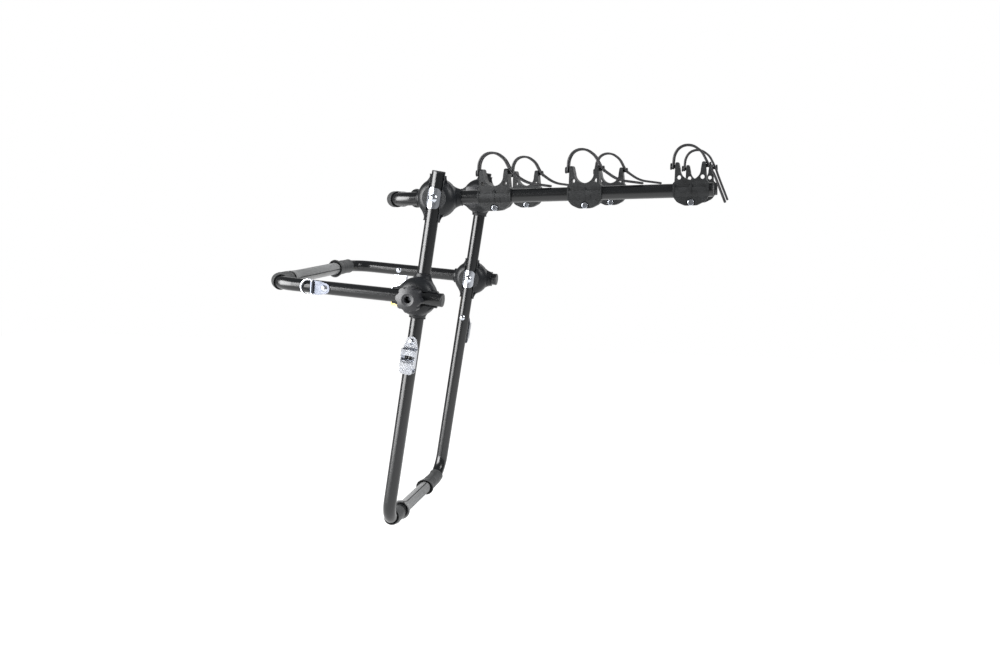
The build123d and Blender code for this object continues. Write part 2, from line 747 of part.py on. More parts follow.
def buckle_frame():
    blank = buckle_blank(buckle_length, buckle_width, buckle_neck)
    base = Pos(0, 0, moving_gap) * extrude(blank, buckle_plate)
    top = moving_gap + buckle_plate + buckle_height
    wall_length = buckle_side_end - buckle_bridge_start
    wall_middle = (buckle_side_end + buckle_bridge_start) / 2
    low = moving_gap + buckle_plate / 2
    for side in (-1, 1):
        across = side * (buckle_width - buckle_wall) / 2
        wall = Pos(wall_middle, across, (low + top) / 2) * Box(wall_length, buckle_wall, top - low)
        base += wall
    bridge_length = buckle_bridge_end - buckle_bridge_start
    bridge_middle = (buckle_bridge_end + buckle_bridge_start) / 2
    bridge = Pos(bridge_middle, 0, top - buckle_plate / 2) * Box(bridge_length, buckle_width, buckle_plate)
    base += bridge
    outer = [e for e in base.edges().filter_by(Axis.Y) if e.center().Z > top - buckle_plate / 2]
    base = fillet(outer, buckle_edge)
    window_middle = buckle_bridge_end + buckle_window_length / 2
    window = Box(buckle_window_length, buckle_window_width, buckle_plate * 4)
    base -= Pos(window_middle, 0, moving_gap) * window
    base -= Cylinder(rivet_radius + running_gap, buckle_height * 4)
    pin = Pos(cam_place, 0, cam_height + moving_gap + buckle_plate)
    return base - pin * Rot(90, 0, 0) * Cylinder(cam_pin_radius + running_gap, buckle_width * 2)


def cam_lever(reach):
    inner_width = buckle_width - 2 * buckle_wall - 2 * moving_gap
    pin = Rot(90, 0, 0) * Cylinder(cam_pin_radius, buckle_width - seat_gap)
    drum = Rot(90, 0, 0) * Cylinder(cam_radius, inner_width)
    teeth = []
    for i in range(cam_teeth):
        angle = 150 + 120 * i / (cam_teeth - 1)
        tooth = Rot(0, 45, 0) * Box(cam_tooth, inner_width, cam_tooth)
        teeth.append(Rot(0, -angle, 0) * Pos(cam_radius, 0, 0) * tooth)
    lift = buckle_height - cam_height - lever_plate / 2
    thumb = Pos(reach / 2, 0, lift) * Box(reach, inner_width, lever_plate)
    thumb = fillet(thumb.edges().filter_by(Axis.Z).group_by(Axis.X)[-1], lever_corner)
    mark = extrude(SlotOverall(lever_mark_length, lever_mark_width), lever_mark_depth * 2)
    mark_place = Pos(lever_mark_place, -lever_mark_side, lift + lever_plate / 2 - lever_mark_depth)
    thumb -= mark_place * Rot(0, 0, 45) * mark
    web = Pos(cam_radius / 2, 0, lift / 2) * Box(cam_radius, inner_width, lift + lever_plate)
    body = drum + teeth + thumb + web + pin
    return Pos(cam_place, 0, cam_height + moving_gap + buckle_plate) * body


# Strap ring: riveted plate with a rolled end that carries a D-shaped wire ring
def ring_hinge_height():
    return moving_gap + ring_wire_radius + running_gap + buckle_plate


def ring_plate():
    blank = buckle_blank(ring_plate_length, ring_plate_width, ring_plate_neck)
    plate = Pos(0, 0, moving_gap) * extrude(blank, buckle_plate)
    roll_radius = ring_wire_radius + running_gap + buckle_plate
    roll = Rot(90, 0, 0) * Cylinder(roll_radius, ring_roll_width)
    hinge = Pos(ring_plate_length, 0, ring_hinge_height())
    plate += hinge * roll
    plate -= hinge * Rot(90, 0, 0) * Cylinder(ring_wire_radius + running_gap, ring_plate_width * 2)
    return plate - Cylinder(rivet_radius + running_gap, buckle_height * 4)


def wire_ring():
    outline = Pos(ring_plate_length + ring_depth / 2, 0) * Rectangle(ring_depth, ring_width)
    outline = fillet(outline.vertices().sort_by(Axis.X)[:2], ring_corner)
    outline = fillet(outline.vertices().group_by(Axis.X)[-1], ring_bow)
    path = outline.wire()
    ring = sweep(Plane(origin=path @ 0, z_dir=path % 0) * Circle(ring_wire_radius), path=path)
    return Pos(0, 0, ring_hinge_height()) * ring


# Frame of a buckle or ring plate: x along the strap, z out of the tube's side
def fitting_plane(along, across, side, turn):
    direction = (cos(radians(turn)), 0, sin(radians(turn)))
    return Plane(origin=(along, across + side * tube_radius, 0), x_dir=direction, z_dir=(0, side, 0))


# Writing: every piece is built in its hoop's frame and then set in the common frame
def write(name, frame, *shapes):
    solids = [frame * solid for shape in shapes for solid in shape.solids()]
    export_step(solids[0] if len(solids) == 1 else Compound(solids), f"parts/{name}.step")


os.makedirs("parts", exist_ok=True)

half_leg = leg_width / 2
half_arm = arm_width / 2
half_boot = boot_width / 2
sides = (("near", -1), ("far", 1))

# Leg hoop and what is fixed to it
write(
    "leg_tube", leg_frame,
    hoop_tube(leg_drop, leg_top, leg_width, (0, -hub_spacing), (-hub_spacing - leg_rivet_drop,)),
)
write("leg_end_caps", leg_frame, *[end_plug(leg_top, side * half_leg) for _, side in sides])
write("leg_pad", leg_frame, pad(leg_drop, leg_width, 0, pad_wide_bell))
for name, side in sides:
    write(f"leg_sleeve_{name}", leg_frame, corner_sleeve(leg_drop, leg_width, side, sleeve_leg_angle))
    upper_mating = side * (half_leg - half_offset)
    lower_mating = side * (half_leg + half_offset)
    write(f"upper_hub_leg_half_{name}", leg_frame, placed_hub_half(upper_mating, side))
    lower_half = Pos(-hub_spacing, 0, 0) * placed_hub_half(lower_mating, -side)
    write(f"lower_hub_leg_half_{name}", leg_frame, lower_half)

bolts = []
plates = []
for name, side in sides:
    bolts.append(hub_bolt(side * half_leg, -side, 0))
    bolts.append(hub_bolt(side * half_leg, side, -hub_spacing))
    plates.append(saddle_plate(side * half_leg, side, 0))
    plates.append(saddle_plate(side * half_leg, -side, -hub_spacing))
write("hub_bolts", leg_frame, *bolts)
write("saddle_plates", leg_frame, *plates)
leg_rivet_place = -hub_spacing - leg_rivet_drop
lift = moving_gap + buckle_plate + moving_gap
leg_rivets = [rivet(leg_rivet_place, side * half_leg, side, lift) for _, side in sides]
write("leg_rivets", leg_frame, *leg_rivets)

# Knobs
for name, side in sides:
    write(f"upper_knob_{name}", leg_frame, knob(side * half_leg, -side, 0))
    write(f"lower_knob_{name}", leg_frame, knob(side * half_leg, side, -hub_spacing))

# Arm hoop
write("arm_tube", arm_frame, hoop_tube(arm_tail, arm_length, arm_width, (0,), ()))
write("arm_end_caps", arm_frame, *[end_plug(arm_length, side * half_arm) for _, side in sides])
write("arm_pad", arm_frame, pad(arm_tail, arm_width, 180, pad_small_bell))
arm_washers = [saddle_washer(side * half_arm, -side) for _, side in sides]
write("arm_saddle_washers", arm_frame, *arm_washers)
for name, side in sides:
    arm_sleeve = corner_sleeve(arm_tail, arm_width, side, sleeve_angles[name])
    write(f"arm_sleeve_{name}", arm_frame, arm_sleeve)
    write(f"arm_hub_half_{name}", arm_frame, placed_hub_half(side * (half_arm + half_offset), -side))

# Boot hoop
boot_tube = hoop_tube(boot_reach, boot_stub, boot_width, (0,), (-boot_rivet_reach,))
write("boot_tube", boot_frame, boot_tube)
write("boot_end_caps", boot_frame, *[end_plug(boot_stub, side * half_boot) for _, side in sides])
write("boot_pad", boot_frame, pad(boot_reach, boot_width, 180, pad_small_bell))
boot_washers = [saddle_washer(side * half_boot, side) for _, side in sides]
write("boot_saddle_washers", boot_frame, *boot_washers)
for name, side in sides:
    boot_sleeve = corner_sleeve(boot_reach, boot_width, side, sleeve_angles[name])
    write(f"boot_sleeve_{name}", boot_frame, boot_sleeve)
    write(f"boot_hub_half_{name}", boot_frame, placed_hub_half(side * (half_boot - half_offset), side))
boot_rivets = [rivet(-boot_rivet_reach, side * half_boot, side, lift) for _, side in sides]
write("boot_rivets", boot_frame, *boot_rivets)

# Buckles and the strap ring
frame_solid = buckle_frame()
lever_solid = cam_lever(leg_lever_reach)
for name, side in sides:
    place = fitting_plane(leg_rivet_place, side * half_leg, side, 180)
    write(f"leg_buckle_{name}", leg_frame, place * frame_solid)
    write(f"leg_buckle_lever_{name}", leg_frame, place * lever_solid)
hanging = 270 - boot_buckle_tilt + boot_rise
boot_place = fitting_plane(-boot_rivet_reach, half_boot, 1, hanging)
write("boot_buckle", boot_frame, boot_place * frame_solid)
write("boot_buckle_lever", boot_frame, boot_place * cam_lever(boot_lever_reach))
ring_place = fitting_plane(-boot_rivet_reach, -half_boot, -1, 180)
write("strap_ring_plate", boot_frame, ring_place * ring_plate())
write("strap_ring", boot_frame, ring_place * wire_ring())

# Cradles, screws and straps
cradle_solid = cradle_body()
screw_solid = clamp_screw()
lying_strap = ladder_strap(None)
arms = (("near", -1, cradle_near_places, cradle_near_tip), ("far", 1, cradle_far_places, cradle_far_tip))
for name, side, places, tip in arms:
    hanging_strap = ladder_strap(tip)
    for number, along in enumerate(places, start=1):
        spot = Pos(along, side * half_arm, 0)
        strap = hanging_strap if number == len(places) else lying_strap
        write(f"cradle_{name}_{number}", arm_frame, spot * cradle_solid)
        write(f"cradle_screw_{name}_{number}", arm_frame, spot * screw_solid)
        write(f"cradle_strap_{name}_{number}", arm_frame, spot * strap)
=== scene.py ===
import json
from collections import namedtuple
from math import atan2, cos, pi, radians, sin

import bpy
from mathutils import Matrix, Vector


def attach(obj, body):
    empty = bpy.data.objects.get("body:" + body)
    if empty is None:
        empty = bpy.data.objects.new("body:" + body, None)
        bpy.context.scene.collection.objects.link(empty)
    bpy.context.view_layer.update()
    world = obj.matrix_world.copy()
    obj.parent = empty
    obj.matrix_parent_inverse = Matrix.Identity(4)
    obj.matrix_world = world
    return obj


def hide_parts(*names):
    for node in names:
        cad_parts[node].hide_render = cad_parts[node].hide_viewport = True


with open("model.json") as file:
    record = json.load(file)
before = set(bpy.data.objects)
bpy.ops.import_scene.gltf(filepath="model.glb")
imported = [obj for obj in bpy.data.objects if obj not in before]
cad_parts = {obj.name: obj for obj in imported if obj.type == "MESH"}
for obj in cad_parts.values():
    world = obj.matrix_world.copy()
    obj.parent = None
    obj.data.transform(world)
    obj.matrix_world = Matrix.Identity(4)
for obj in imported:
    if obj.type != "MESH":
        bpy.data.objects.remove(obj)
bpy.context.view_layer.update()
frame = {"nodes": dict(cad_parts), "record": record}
nodes = frame["nodes"]

# Driving sizes of the three hoops, as in the model, in millimetres and degrees
LEG_LEAN = 9.3
ARM_RISE = 1.83
BOOT_RISE = 4.6
LEG_DROP = 643.0
HUB_SPACING = 185.0
TUBE_OFFSET = 36.0
LEG_HALF = 185.0
ARM_HALF = LEG_HALF - TUBE_OFFSET
BOOT_HALF = LEG_HALF + TUBE_OFFSET
ARM_LENGTH = 505.0
ARM_TAIL = 103.0
BOOT_REACH = 288.0
BEND_RADIUS = 45.0
PAD_FLAT = 12.2
SIDES = {"near": -1, "far": 1}


# Frames of the three hoops: x towards the open end, y across, z out of the hoop's plane
def hoop_matrix(origin, angle):
    a = radians(angle)
    x = Vector((cos(a), 0, sin(a)))
    z = Vector((-sin(a), 0, cos(a)))
    rows = ((x.x, 0, z.x, origin.x), (0, 1, 0, 0), (x.z, 0, z.z, origin.z), (0, 0, 0, 1))
    return Matrix.Scale(0.001, 4) @ Matrix(rows)


lean = radians(LEG_LEAN)
foot = Vector((cos(lean), 0, -sin(lean))) * PAD_FLAT
leg_up = Vector((sin(lean), 0, cos(lean)))
upper_axis = foot + leg_up * LEG_DROP
lower_axis = foot + leg_up * (LEG_DROP - HUB_SPACING)
leg_matrix = hoop_matrix(upper_axis, 90 - LEG_LEAN)
arm_matrix = hoop_matrix(upper_axis, ARM_RISE)
boot_matrix = hoop_matrix(lower_axis, -BOOT_RISE)


# Shader nodes that the materials and the studio share
NOISE_ROUGHNESS = 0.55


def math_node(tree, operation, first, second):
    node = tree.nodes.new("ShaderNodeMath")
    node.operation = operation
    for socket, value in zip(node.inputs, (first, second)):
        if isinstance(value, (int, float)):
            socket.default_value = value
        else:
            tree.links.new(value, socket)
    return node.outputs[0]


def fade(tree, value, start, end):
    node = tree.nodes.new("ShaderNodeMapRange")
    node.interpolation_type = "SMOOTHSTEP"
    node.inputs["From Min"].default_value = start
    node.inputs["From Max"].default_value = end
    tree.links.new(value, node.inputs["Value"])
    return node.outputs["Result"]


def noise(tree, scale, detail, stretch):
    coordinates = tree.nodes.new("ShaderNodeTexCoord")
    mapping = tree.nodes.new("ShaderNodeMapping")
    mapping.inputs["Scale"].default_value = stretch
    texture = tree.nodes.new("ShaderNodeTexNoise")
    texture.inputs["Scale"].default_value = scale
    texture.inputs["Detail"].default_value = detail
    texture.inputs["Roughness"].default_value = NOISE_ROUGHNESS
    tree.links.new(coordinates.outputs["Object"], mapping.inputs["Vector"])
    tree.links.new(mapping.outputs["Vector"], texture.inputs["Vector"])
    return texture.outputs["Fac"]


def ramp(tree, source, positions, first, last):
    node = tree.nodes.new("ShaderNodeValToRGB")
    for stop, position, color in zip(node.color_ramp.elements, positions, (first, last)):
        stop.position = position
        stop.color = (*color, 1)
    tree.links.new(source, node.inputs["Fac"])
    return node.outputs["Color"]


# Materials: wide patches vary the colour, and fine grain varies the roughness and the relief
PATCH_DETAIL, PATCH_STOPS = 4.0, (0.3, 0.7)
GRAIN_DETAIL, GRAIN_STOPS = 3.0, (0.25, 0.75)
RELIEF_DEPTH = 0.0002


def surface(name, dark, light, rough, spread, grain, bump, patch, metal=0.0, spec=0.5, stretch=(1, 1, 1)):
    material = bpy.data.materials.new(name)
    material.use_nodes = True
    tree = material.node_tree
    shader = tree.nodes["Principled BSDF"]
    shader.inputs["Base Color"].default_value = (*light, 1)
    shader.inputs["Roughness"].default_value = rough
    shader.inputs["Metallic"].default_value = metal
    shader.inputs["Specular IOR Level"].default_value = spec
    patches = noise(tree, patch, PATCH_DETAIL, stretch)
    tree.links.new(ramp(tree, patches, PATCH_STOPS, dark, light), shader.inputs["Base Color"])
    fine = noise(tree, grain, GRAIN_DETAIL, stretch)
    roughness = ramp(tree, fine, GRAIN_STOPS, (rough - spread,) * 3, (rough + spread,) * 3)
    tree.links.new(roughness, shader.inputs["Roughness"])
    relief = tree.nodes.new("ShaderNodeBump")
    relief.inputs["Strength"].default_value = bump
    relief.inputs["Distance"].default_value = RELIEF_DEPTH
    tree.links.new(fine, relief.inputs["Height"])
    tree.links.new(relief.outputs["Normal"], shader.inputs["Normal"])
    return material


looks = {
    "frame_tube": surface("tube_coat", (0.006, 0.007, 0.008), (0.010, 0.011, 0.0125), 0.23, 0.012,
                          grain=500, bump=0.004, patch=9.0, spec=0.55),
    "hub_plastic": surface("hub_nylon", (0.008, 0.009, 0.011), (0.016, 0.018, 0.021), 0.38, 0.06,
                           grain=2200, bump=0.14, patch=28.0, spec=0.3),
    "knob_plastic": surface("knob_nylon", (0.014, 0.015, 0.019), (0.026, 0.027, 0.031), 0.42, 0.06,
                            grain=2000, bump=0.16, patch=40.0),
    "cradle_plastic": surface("cradle_nylon", (0.010, 0.011, 0.012), (0.028, 0.030, 0.032), 0.44, 0.08,
                              grain=1800, bump=0.22, patch=70.0, spec=0.3),
    "pad_rubber": surface("pad_rubber_ribbed", (0.23, 0.235, 0.238), (0.33, 0.335, 0.338), 0.72, 0.08,
                          grain=1500, bump=0.25, patch=25.0, stretch=(1, 0.25, 1)),
    "sleeve_rubber": surface("sleeve_rubber_smooth", (0.045, 0.047, 0.048), (0.075, 0.078, 0.08), 0.55,
                             0.08, grain=1700, bump=0.2, patch=30.0),
    "strap_rubber": surface("strap_rubber_black", (0.012, 0.012, 0.014), (0.026, 0.026, 0.029), 0.46, 0.08,
                            grain=1600, bump=0.2, patch=50.0, spec=0.4),
    "cap_plastic": surface("cap_plastic_black", (0.014, 0.015, 0.016), (0.024, 0.025, 0.027), 0.4, 0.06,
                           grain=2000, bump=0.15, patch=60.0),
    "bright_steel": surface("steel_bright", (0.5, 0.53, 0.58), (0.7, 0.73, 0.79), 0.19, 0.03,
                            grain=400, bump=0.04, patch=60.0, metal=1.0),
    "stamped_steel": surface("steel_stamped", (0.66, 0.69, 0.76), (0.84, 0.86, 0.9), 0.2, 0.03,
                             grain=300, bump=0.04, patch=80.0, metal=1.0),
    # dark steel; on the strap ring plate it is painted shade, darkening plated steel for how the light
    # falls on it
    "dull_steel": surface("steel_dull_and_painted_shade", (0.10, 0.11, 0.135), (0.17, 0.18, 0.21), 0.34, 0.05,
                          grain=300, bump=0.04, patch=90.0, metal=1.0),
    "gold_steel": surface("steel_yellow_zinc", (0.42, 0.31, 0.09), (0.62, 0.5, 0.22), 0.34, 0.08,
                          grain=900, bump=0.1, patch=120.0, metal=1.0),
}


# Pads: the plain half is smoother than the ribbed half, and the parting grooves get painted shade
PLAIN_SHINE, GROOVE_SHADE = 0.4, 0.88


def attribute(tree, name):
    node = tree.nodes.new("ShaderNodeAttribute")
    node.attribute_name = name
    return node.outputs["Fac"]


def finish_pad_rubber(tree):
    shader = tree.nodes["Principled BSDF"]
    rough, color = shader.inputs["Roughness"], shader.inputs["Base Color"]
    ribbed = rough.links[0].from_socket
    smoother = math_node(tree, "MULTIPLY", attribute(tree, "plain"), PLAIN_SHINE)
    tree.links.new(math_node(tree, "SUBTRACT", ribbed, smoother), rough)
    darker = tree.nodes.new("ShaderNodeVectorMath")
    darker.operation = "SCALE"
    tree.links.new(color.links[0].from_socket, darker.inputs[0])
    # Painted shade: the base colour is darkened in the parting grooves
    shade = math_node(tree, "MULTIPLY", attribute(tree, "groove"), -GROOVE_SHADE)
    tree.links.new(math_node(tree, "ADD", shade, 1.0), darker.inputs["Scale"])
    tree.links.new(darker.outputs["Vector"], color)


finish_pad_rubber(looks["pad_rubber"].node_tree)


def paint(obj, look):
    obj.data.materials.clear()
    obj.data.materials.append(look)


for part in frame["record"]["subparts"]:
    paint(nodes[part["node"]], looks[part["material_slot"]])
# The strap ring plate gets the dark steel: painted shade, darkening its plated steel for how the light
# falls on it
paint(nodes["strap_ring_plate"], looks["dull_steel"])


# Mesh building
def build(name, matrix, verts, faces):
    mesh = bpy.data.meshes.new(name)
    mesh.from_pydata([matrix @ Vector(v) for v in verts], [], faces)
    mesh.validate()
    mesh.update()
    mesh.shade_smooth()
    obj = bpy.data.objects.new(name, mesh)
    bpy.context.scene.collection.objects.link(obj)
    return obj


# A closed skin through rings of points, from the last ring back to the first
def loft(rings):
    count = len(rings[0])
    verts = [v for ring in rings for v in ring]
    faces = []
    for i in range(len(rings)):
        a, b = i * count, ((i + 1) % len(rings)) * count
        for j in range(count):
            k = (j + 1) % count
            faces.append((a + j, a + k, b + k, b + j))
    return verts, faces


def subdivide(obj, levels):
    modifier = obj.modifiers.new("smooth", "SUBSURF")
    modifier.levels = levels
    modifier.render_levels = levels


def ease(t):
    t = min(max(t, 0.0), 1.0)
    return t * t * (3 - 2 * t)


# Pads: fine ribs round the back, a plain block towards the car, a parting groove between them.
# Angles round a pad start in the hoop's plane: the plain half comes first, then the ribbed half.
PAD_NEAR_REACH, PAD_FAR_REACH = 88.0, 116.0
PAD_POINTS = 264
PAD_RADIUS, PAD_BORE = 12.75, 9.75
RIB_COUNT, RIB_ROOT, RIB_HEIGHT, RIB_ROUND = 22, 12.45, 0.65, 0.7
SEAM_DEPTH, SEAM_HALF_ANGLE = 1.7, 0.13

# The bell at a pad's near end, and where the round bell turns into the ribs and the flat face
BELL_LENGTH, BELL_CURVE, BELL_TILT, BELL_SAG = 32.0, 1.5, 0.06, 0.17
BELL_THROAT = 13.1
BLOCK_START, BLOCK_RUN = 4.0, 20.0

# Spacing of the rings along a pad, and the room that they leave at its ends
RING_STEP, RING_ROOM, FIRST_RING, LAST_RING = 2.0, 4.0, 0.5, 0.8

# A pad's far end: distance in from the end and cut from the radius, then distance out and radius
PAD_EDGE = ((0.7, 0.0), (0.35, 0.4))
PAD_NECK = ((-0.3, 12.0), (5.6, 11.9), (5.9, 11.4), (5.8, PAD_BORE))


# 1 in the middle of a parting groove, 0 beside it; spread moves both grooves into the ribbed half
def groove_share(a, spread):
    away = min(abs(a - pi - spread), abs(a - 2 * pi + spread), a + spread)
    return max(0.0, 1 - away / SEAM_HALF_ANGLE)


# block is 0 where the pad is round and 1 where it has its ribs and its flat face
def pad_radius(a, block, spread):
    if pi + spread <= a <= 2 * pi - spread:
        turn = (a - pi) / pi * RIB_COUNT
        wave = 0.5 + 0.5 * cos(2 * pi * turn + pi)
        r = RIB_ROOT + RIB_HEIGHT * wave ** RIB_ROUND
    else:
        r = min(PAD_RADIUS, PAD_FLAT / max(sin(a), 1e-6))
    r -= SEAM_DEPTH * groove_share(a, spread)
    return r * block + PAD_RADIUS * (1 - block)


# The rubber is never quite even along its length
def waver(y):
    return 0.3 * (0.12 * sin(y * 0.11) + 0.08 * sin(y * 0.37 + 1.0))


def pad_piece(name, hoop):
    low, high = -hoop.half + PAD_NEAR_REACH, hoop.half - PAD_FAR_REACH
    length = high - low
    turn, swell, spread = hoop.turn, hoop.swell, hoop.spread
    lip, sag = PAD_RADIUS + swell, swell * BELL_SAG
    angles = [2 * pi * i / PAD_POINTS for i in range(PAD_POINTS)]
    rings = []

    def add_ring(y, radii, offset=0.0):
        rings.append([(-hoop.reach + r * cos(a) * turn, y, (r * sin(a) + offset) * turn)
                      for a, r in zip(angles, radii)])

    # The bell's inside and lip: distance in from the end, radius, share of the sag
    mouth = ((16.0, PAD_BORE, 0.0), (10.0, 12.85, 0.0), (6.0, BELL_THROAT, 0.0),
             (2.5, BELL_THROAT + swell * 0.2, 0.4), (0.6, lip - 1.3 - swell * 0.35, 0.8),
             (0.0, lip - 1.1 - swell * 0.2, 1.0), (-0.15, lip - 0.8, 1.0), (0.4, lip - 0.25, 1.0))
    for inward, radius, share in mouth:
        add_ring(low + inward, [radius] * PAD_POINTS, sag * share)
    count = int((length - RING_ROOM) / RING_STEP)
    for i in range(1, count):
        y = low + FIRST_RING + (length - FIRST_RING - LAST_RING) * i / count
        block = ease((y - low - BLOCK_START) / BLOCK_RUN)
        bell = max(1 - (y - low) / BELL_LENGTH, 0.0) ** BELL_CURVE
        radii = [pad_radius(a, block, spread) + swell * bell * (1 + BELL_TILT * sin(a)) + waver(y)
                 for a in angles]
        add_ring(y, radii, sag * bell)
    for inward, cut in PAD_EDGE:
        add_ring(high - inward, [pad_radius(a, 1.0, spread) - cut for a in angles])
    for outward, radius in PAD_NECK:
        add_ring(high + outward, [radius] * PAD_POINTS)

    obj = build(name, hoop.matrix, *loft(rings))
    plain = [float(sin(a) > -sin(spread)) for a in angles]
    # groove marks where the pad's colour gets painted shade, in and beside the parting grooves
    groove = [groove_share(a, spread) ** 0.5 for a in angles]
    for label, values in (("plain", plain), ("groove", groove)):
        layer = obj.data.attributes.new(label, "FLOAT", "POINT")
        layer.data.foreach_set("value", values * len(rings))
    return obj


# Corner sleeves: part of the bend and the straight up to the pad, with a lip at the bend's mouth.
# The far ones end in a cup round the pad's neck, the near ones stop short of the pad's bell.
SLEEVE_GAP, SLEEVE_END_ROOM = 16.0, 1.0
SLEEVE_POINTS, BEND_STEPS, STRAIGHT_STEPS = 56, 12, 26
SLEEVE_RADIUS, SLEEVE_BORE = 15.0, 12.95
CUP_LENGTH, CUP_SWELL, CUP_OVAL = 26.0, 3.0, 1.5
SLEEVE_RIBS, SLEEVE_RIB_HEIGHT, SLEEVE_RIB_HALF = (30.0, 42.0), 0.7, 2.6

# Ends of a sleeve: radius, shift along the sleeve, and how far it bulges out of the hoop's plane
SLEEVE_MOUTH = ((SLEEVE_BORE, 0.4, 0.0), (13.8, -0.5, 0.0), (14.8, -0.9, 0.0), (15.4, -0.6, 0.0),
                (15.6, 0.0, 0.0), (15.3, 0.7, 0.0), (SLEEVE_RADIUS, 1.6, 0.0))
NEAR_END = ((SLEEVE_RADIUS, -0.7, 0.0), (14.8, -0.2, 0.0), (14.2, 0.0, 0.0), (SLEEVE_BORE, -0.1, 0.0))
FAR_END = ((18.2, -0.6, CUP_OVAL), (18.0, -0.1, CUP_OVAL), (17.4, 0.0, CUP_OVAL), (16.7, -0.4, CUP_OVAL),
           (14.9, -4.0, 0.8), (12.6, -6.6, 0.0), (12.3, -7.0, 0.0))

Station = namedtuple("Station", "centre tangent radial")


# Places along a sleeve's middle, from its mouth on the bend to its end on the crossbar
def sleeve_stations(hoop, side, end, wrap):
    reach, half = hoop.reach, hoop.half
    bend_centre = Vector((-reach + BEND_RADIUS, (half - BEND_RADIUS) * side, 0))
    out = []
    for i in range(BEND_STEPS + 1):
        a = radians(wrap) * (1 - i / BEND_STEPS)
        radial = Vector((-cos(a), sin(a) * side, 0))
        tangent = Vector((-sin(a), -cos(a) * side, 0))
        out.append(Station(bend_centre + radial * BEND_RADIUS, tangent, radial))
    straight = end - BEND_RADIUS
    for i in range(1, STRAIGHT_STEPS + 1):
        y = (half - BEND_RADIUS - straight * i / STRAIGHT_STEPS) * side
        out.append(Station(Vector((-reach, y, 0)), Vector((0, -side, 0)), Vector((-1, 0, 0))))
    return out


def sleeve_piece(name, hoop, side, wrap):
    cupped = side == SIDES["far"]
    end = PAD_FAR_REACH if cupped else PAD_NEAR_REACH - SLEEVE_GAP
    stations = sleeve_stations(hoop, side, end, wrap)
    up = Vector((0, 0, 1))
    rings = []

    def add_ring(station, radius, shift, oval):
        centre = station.centre + station.tangent * shift
        ring = []
        for j in range(SLEEVE_POINTS):
            a = 2 * pi * j / SLEEVE_POINTS
            r = radius - oval * cos(2 * a)
            ring.append(tuple(centre + (station.radial * cos(a) + up * sin(a)) * r))
        rings.append(ring)

    for radius, shift, oval in SLEEVE_MOUTH:
        add_ring(stations[0], radius, shift, oval)
    run = [0.0]
    for a, b in zip(stations, stations[1:]):
        run.append(run[-1] + (b.centre - a.centre).length)
    for station, s in zip(stations[1:], run[1:]):
        left = run[-1] - s
        if left < SLEEVE_END_ROOM:
            continue
        grown = ease(1 - left / CUP_LENGTH) if cupped else 0.0
        radius = SLEEVE_RADIUS + CUP_SWELL * grown
        for rib in SLEEVE_RIBS:
            radius += SLEEVE_RIB_HEIGHT * max(0.0, 1 - ((left - rib) / SLEEVE_RIB_HALF) ** 2)
        add_ring(station, radius, 0.0, CUP_OVAL * grown)
    for radius, shift, oval in FAR_END if cupped else NEAR_END:
        add_ring(stations[-1], radius, shift, oval)

    obj = build(name, hoop.matrix, *loft(rings))
    subdivide(obj, 1)
    return obj


# How far each sleeve goes round its bend, how far each pad's bell swells, and where the grooves lie
LONG_WRAP, LEG_WRAP, SHORT_WRAP = 45.0, 24.0, 10.0
WIDE_SWELL, SMALL_SWELL = 7.6, 2.8
LEG_SPREAD = radians(16)

# turn says to which side of the hoop's plane the pad's plain half points
Hoop = namedtuple("Hoop", "matrix reach half turn near_wrap far_wrap swell spread")
hoops = {
    "leg": Hoop(leg_matrix, LEG_DROP, LEG_HALF, 1, LEG_WRAP, LEG_WRAP, WIDE_SWELL, LEG_SPREAD),
    "arm": Hoop(arm_matrix, ARM_TAIL, ARM_HALF, -1, LONG_WRAP, SHORT_WRAP, SMALL_SWELL, 0.0),
    "boot": Hoop(boot_matrix, BOOT_REACH, BOOT_HALF, -1, LONG_WRAP, SHORT_WRAP, SMALL_SWELL, 0.0),
}
for hoop, shape in hoops.items():
    body = f"{hoop}_frame"
    pad = pad_piece(f"{hoop}_pad_ribbed", shape)
    paint(pad, looks["pad_rubber"])
    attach(pad, body)
    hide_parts(f"{hoop}_pad")
    for name, side in SIDES.items():
        wrap = shape.near_wrap if name == "near" else shape.far_wrap
        sleeve = sleeve_piece(f"{hoop}_sleeve_{name}_moulded", shape, side, wrap)
        paint(sleeve, looks["sleeve_rubber"])
        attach(sleeve, body)
        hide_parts(f"{hoop}_sleeve_{name}")


# Ladder straps: a flat ladder bent along the same route as the model's
STRAP_THICKNESS, STRAP_WIDTH, STRAP_RAIL = 4.4, 20.0, 4.6
SLOT_LENGTH, RUNG_LENGTH, STRAP_END = 17.0, 6.0, 9.0
STRAP_STEP, ARC_STEPS = 2.4, 12

# The strap narrows at its ends and thins at its edges and rungs, by these shares of its width and thickness
END_ROUND, END_NARROWING = 7.0, 0.28
EDGE_ROUND, EDGE_SHARE = 1.4, 0.55
RAIL_ROUND, RUNG_THINNING = 1.2, 0.12

# The model's cradles: their places on the arms, and the pegs on their ears that hold the strap
CRADLE_FIRST_PLACE = 108.0
CRADLE_TIP_GAPS = {"near": 37.0, "far": 33.0}
CRADLE_SHIFTS = {"near": 11.0, "far": 2.0}
EAR_BASE, EAR_ROOT_HEIGHT = 28.5, 16.5
EAR_HALF, EAR_HEIGHT = 26.5, 50.5
EAR_LEAN = (EAR_BASE - EAR_HALF) / (EAR_HEIGHT - EAR_ROOT_HEIGHT)
PEG_HEIGHT, PEG_LENGTH = 43.0, 6.2
PEG_MIDDLE = EAR_HALF + (EAR_HEIGHT - PEG_HEIGHT) * EAR_LEAN + PEG_LENGTH / 2


def cradle_places(name):
    last = ARM_LENGTH - CRADLE_TIP_GAPS[name]
    middle = (CRADLE_FIRST_PLACE + last) / 2 - CRADLE_SHIFTS[name]
    return CRADLE_FIRST_PLACE, middle, last


